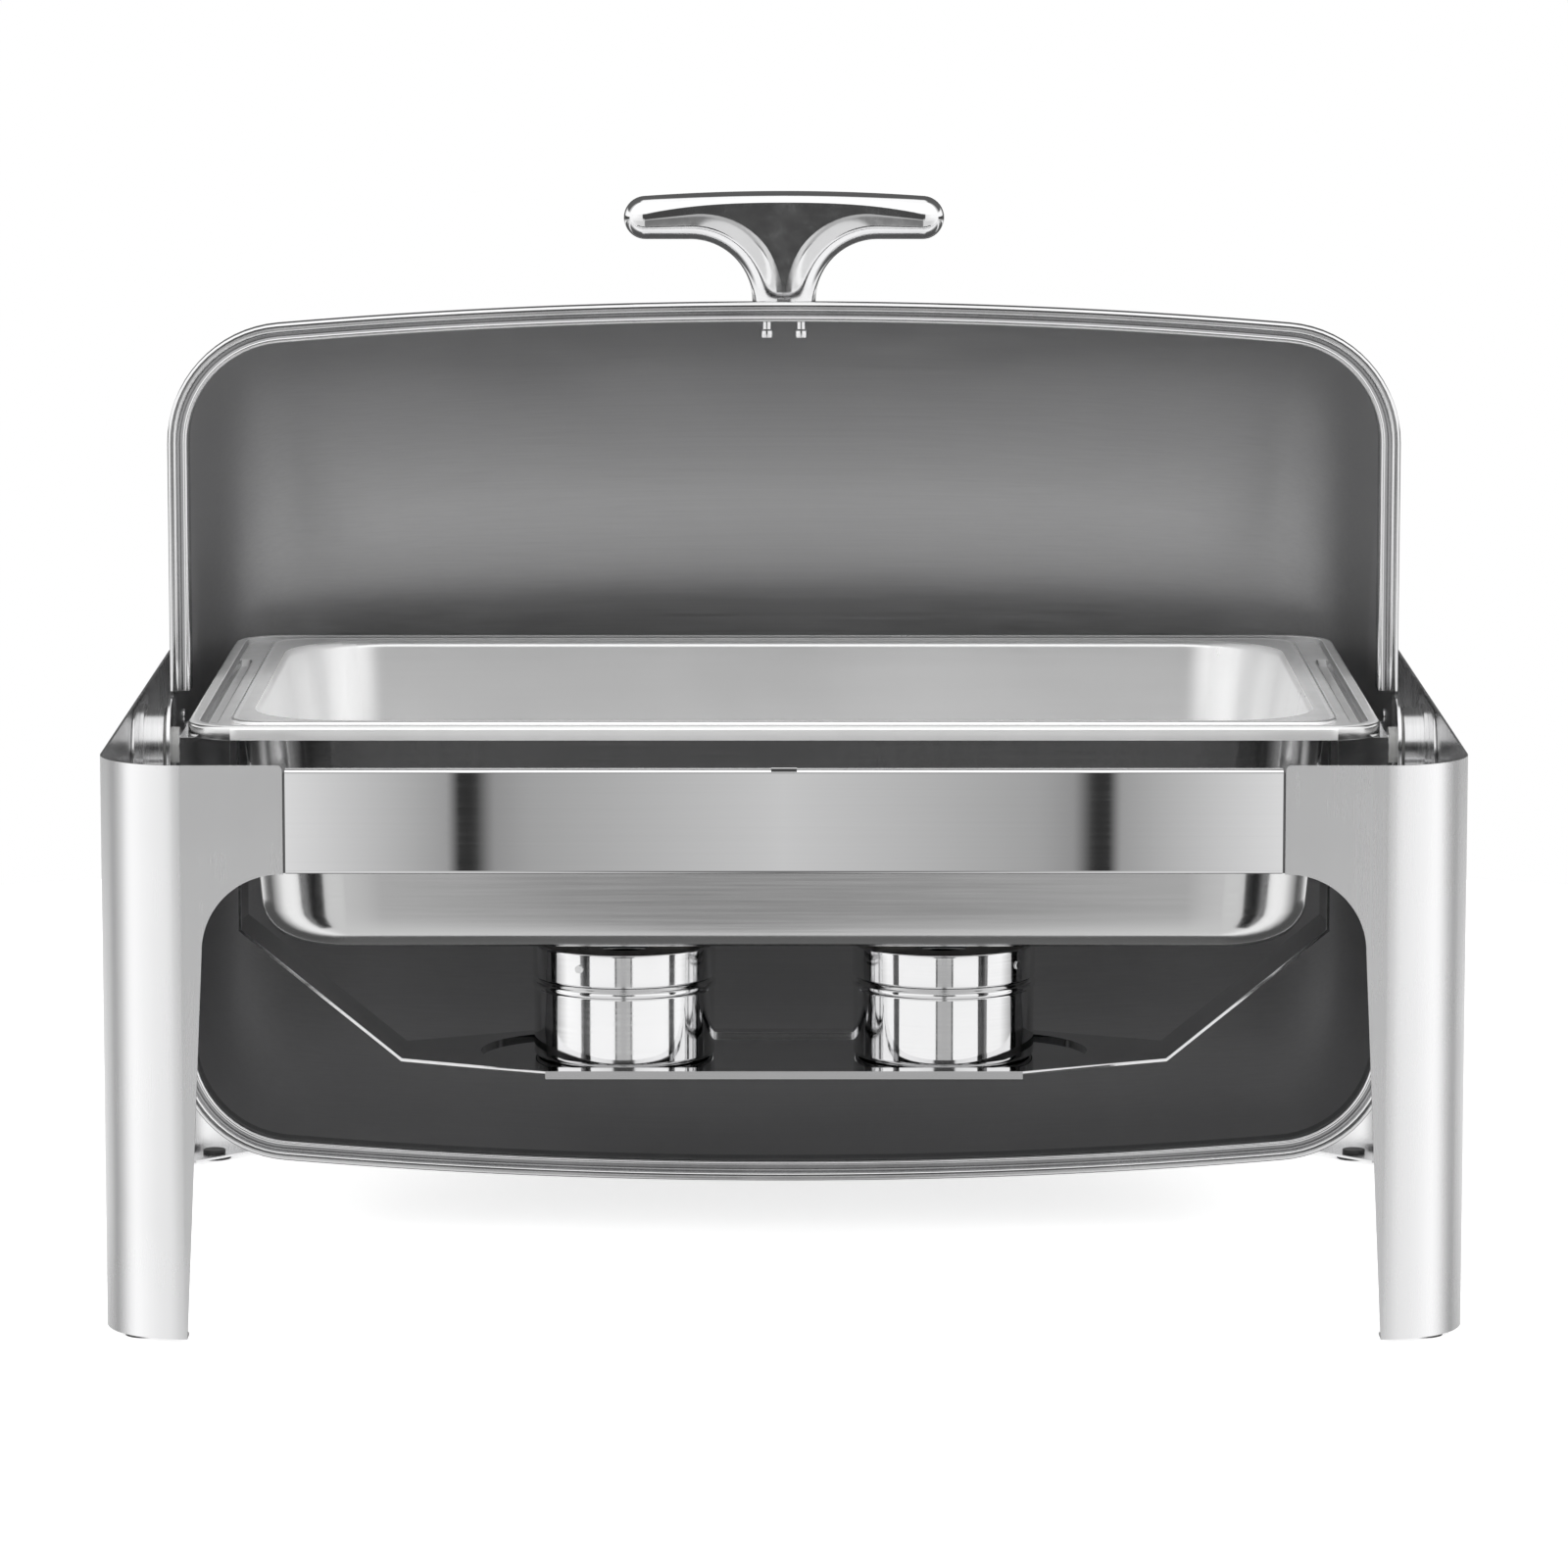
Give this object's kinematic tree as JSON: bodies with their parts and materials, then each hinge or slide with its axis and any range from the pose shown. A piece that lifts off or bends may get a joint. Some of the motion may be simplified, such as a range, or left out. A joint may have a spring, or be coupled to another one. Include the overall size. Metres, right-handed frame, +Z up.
{
  "type": "roll top chafer",
  "caption": "Rectangular roll top chafing dish: sheet steel stand, half-round lid rolling about side pivots, water pan, food pan and spirit fuel holders on a hanging tray",
  "frame": {"origin": "on the floor at the middle of the stand's footprint", "axes": "+X across the front to the right, +Y to the back, +Z up; the lid is stored rolled fully open, with its mouth upright over the pivot axis"},
  "size_m": [0.652, 0.47, 0.5263],
  "materials": {
    "frame_steel": "satin sheet stainless steel, fine vertical grain",
    "skirt_steel": "polished sheet stainless steel with faint long grain",
    "lid_steel": "mirror polished outside, brushed inside",
    "rim_steel": "satin pressed steel band",
    "handle_cast": "cast, polished by hand",
    "pan_steel": "drawn stainless steel, satin",
    "tray_steel": "polished sheet steel",
    "bracket_steel": "plain bright sheet steel",
    "hub_steel": "turned steel",
    "holder_steel": "mirror polished drawn steel",
    "deck_steel": "plain steel, heat dulled",
    "hardware_steel": "bright stainless fasteners",
    "glide_plastic": "black moulded plastic",
    "bearing_nylon": "natural nylon"
  },
  "bodies": {
    "stand": {"end_frame_left": "frame_steel", "end_frame_right": "frame_steel", "front_skirt": "skirt_steel", "rear_skirt": "skirt_steel", "foot_glides": "glide_plastic", "pivot_plate_left": "bracket_steel", "pivot_plate_right": "bracket_steel", "pivot_hub_left": "hub_steel", "pivot_hub_right": "hub_steel", "hub_screws": "hardware_steel", "thrust_washers": "bearing_nylon", "lid_stop_pins": "hardware_steel", "cradle_left": "bracket_steel", "cradle_right": "bracket_steel", "cradle_bolts": "hardware_steel", "cradle_washers": "hardware_steel", "fuel_tray": "tray_steel", "tray_rivets": "hardware_steel"},
    "lid": {"lid_shell": "lid_steel", "lid_rim": "rim_steel", "hinge_plate_left": "bracket_steel", "hinge_plate_right": "bracket_steel", "hinge_rivets": "hardware_steel", "pivot_bush_left": "bearing_nylon", "pivot_bush_right": "bearing_nylon", "lid_handle": "handle_cast", "handle_screws": "hardware_steel", "handle_sleeves": "hardware_steel"},
    "water_pan_body": {"water_pan": "pan_steel"},
    "food_pan_body": {"food_pan": "pan_steel"},
    "holder_left": {"fuel_cup_left": "holder_steel"},
    "cap_left": {"fuel_collar_left": "holder_steel", "flame_deck_left": "deck_steel", "collar_rivets_left": "hardware_steel", "damper_rivet_left": "hardware_steel"},
    "snuffer_left": {"damper_left": "deck_steel"},
    "holder_right": {"fuel_cup_right": "holder_steel"},
    "cap_right": {"fuel_collar_right": "holder_steel", "flame_deck_right": "deck_steel", "collar_rivets_right": "hardware_steel", "damper_rivet_right": "hardware_steel"},
    "snuffer_right": {"damper_right": "deck_steel"}
  },
  "joints": [
    {"name": "lid_roll", "type": "hinge", "parent": "stand", "child": "lid", "pos_m": [0, 0, 0.2526], "axis": [1, 0, 0], "range_deg": [0, 90]},
    {"name": "water_pan_lift", "type": "slide", "parent": "stand", "child": "water_pan_body", "axis": [0, 0, 1], "range_m": [0, 0.03]},
    {"name": "food_pan_lift", "type": "slide", "parent": "water_pan_body", "child": "food_pan_body", "axis": [0, 0, 1], "range_m": [0, 0.04]},
    {"name": "holder_lift_left", "type": "slide", "parent": "stand", "child": "holder_left", "axis": [0, 0, 1], "range_m": [0, 0.012]},
    {"name": "cap_lift_left", "type": "slide", "parent": "holder_left", "child": "cap_left", "axis": [0, 0, 1], "range_m": [0, 0.008]},
    {"name": "damper_swing_left", "type": "hinge", "parent": "cap_left", "child": "snuffer_left", "pos_m": [-0.08, 0.029, 0.1505], "axis": [0, 0, -1], "range_deg": [0, 55]},
    {"name": "holder_lift_right", "type": "slide", "parent": "stand", "child": "holder_right", "axis": [0, 0, 1], "range_m": [0, 0.012]},
    {"name": "cap_lift_right", "type": "slide", "parent": "holder_right", "child": "cap_right", "axis": [0, 0, 1], "range_m": [0, 0.008]},
    {"name": "damper_swing_right", "type": "hinge", "parent": "cap_right", "child": "snuffer_right", "pos_m": [0.08, 0.029, 0.1505], "axis": [0, 0, 1], "range_deg": [0, 55]}
  ]
}
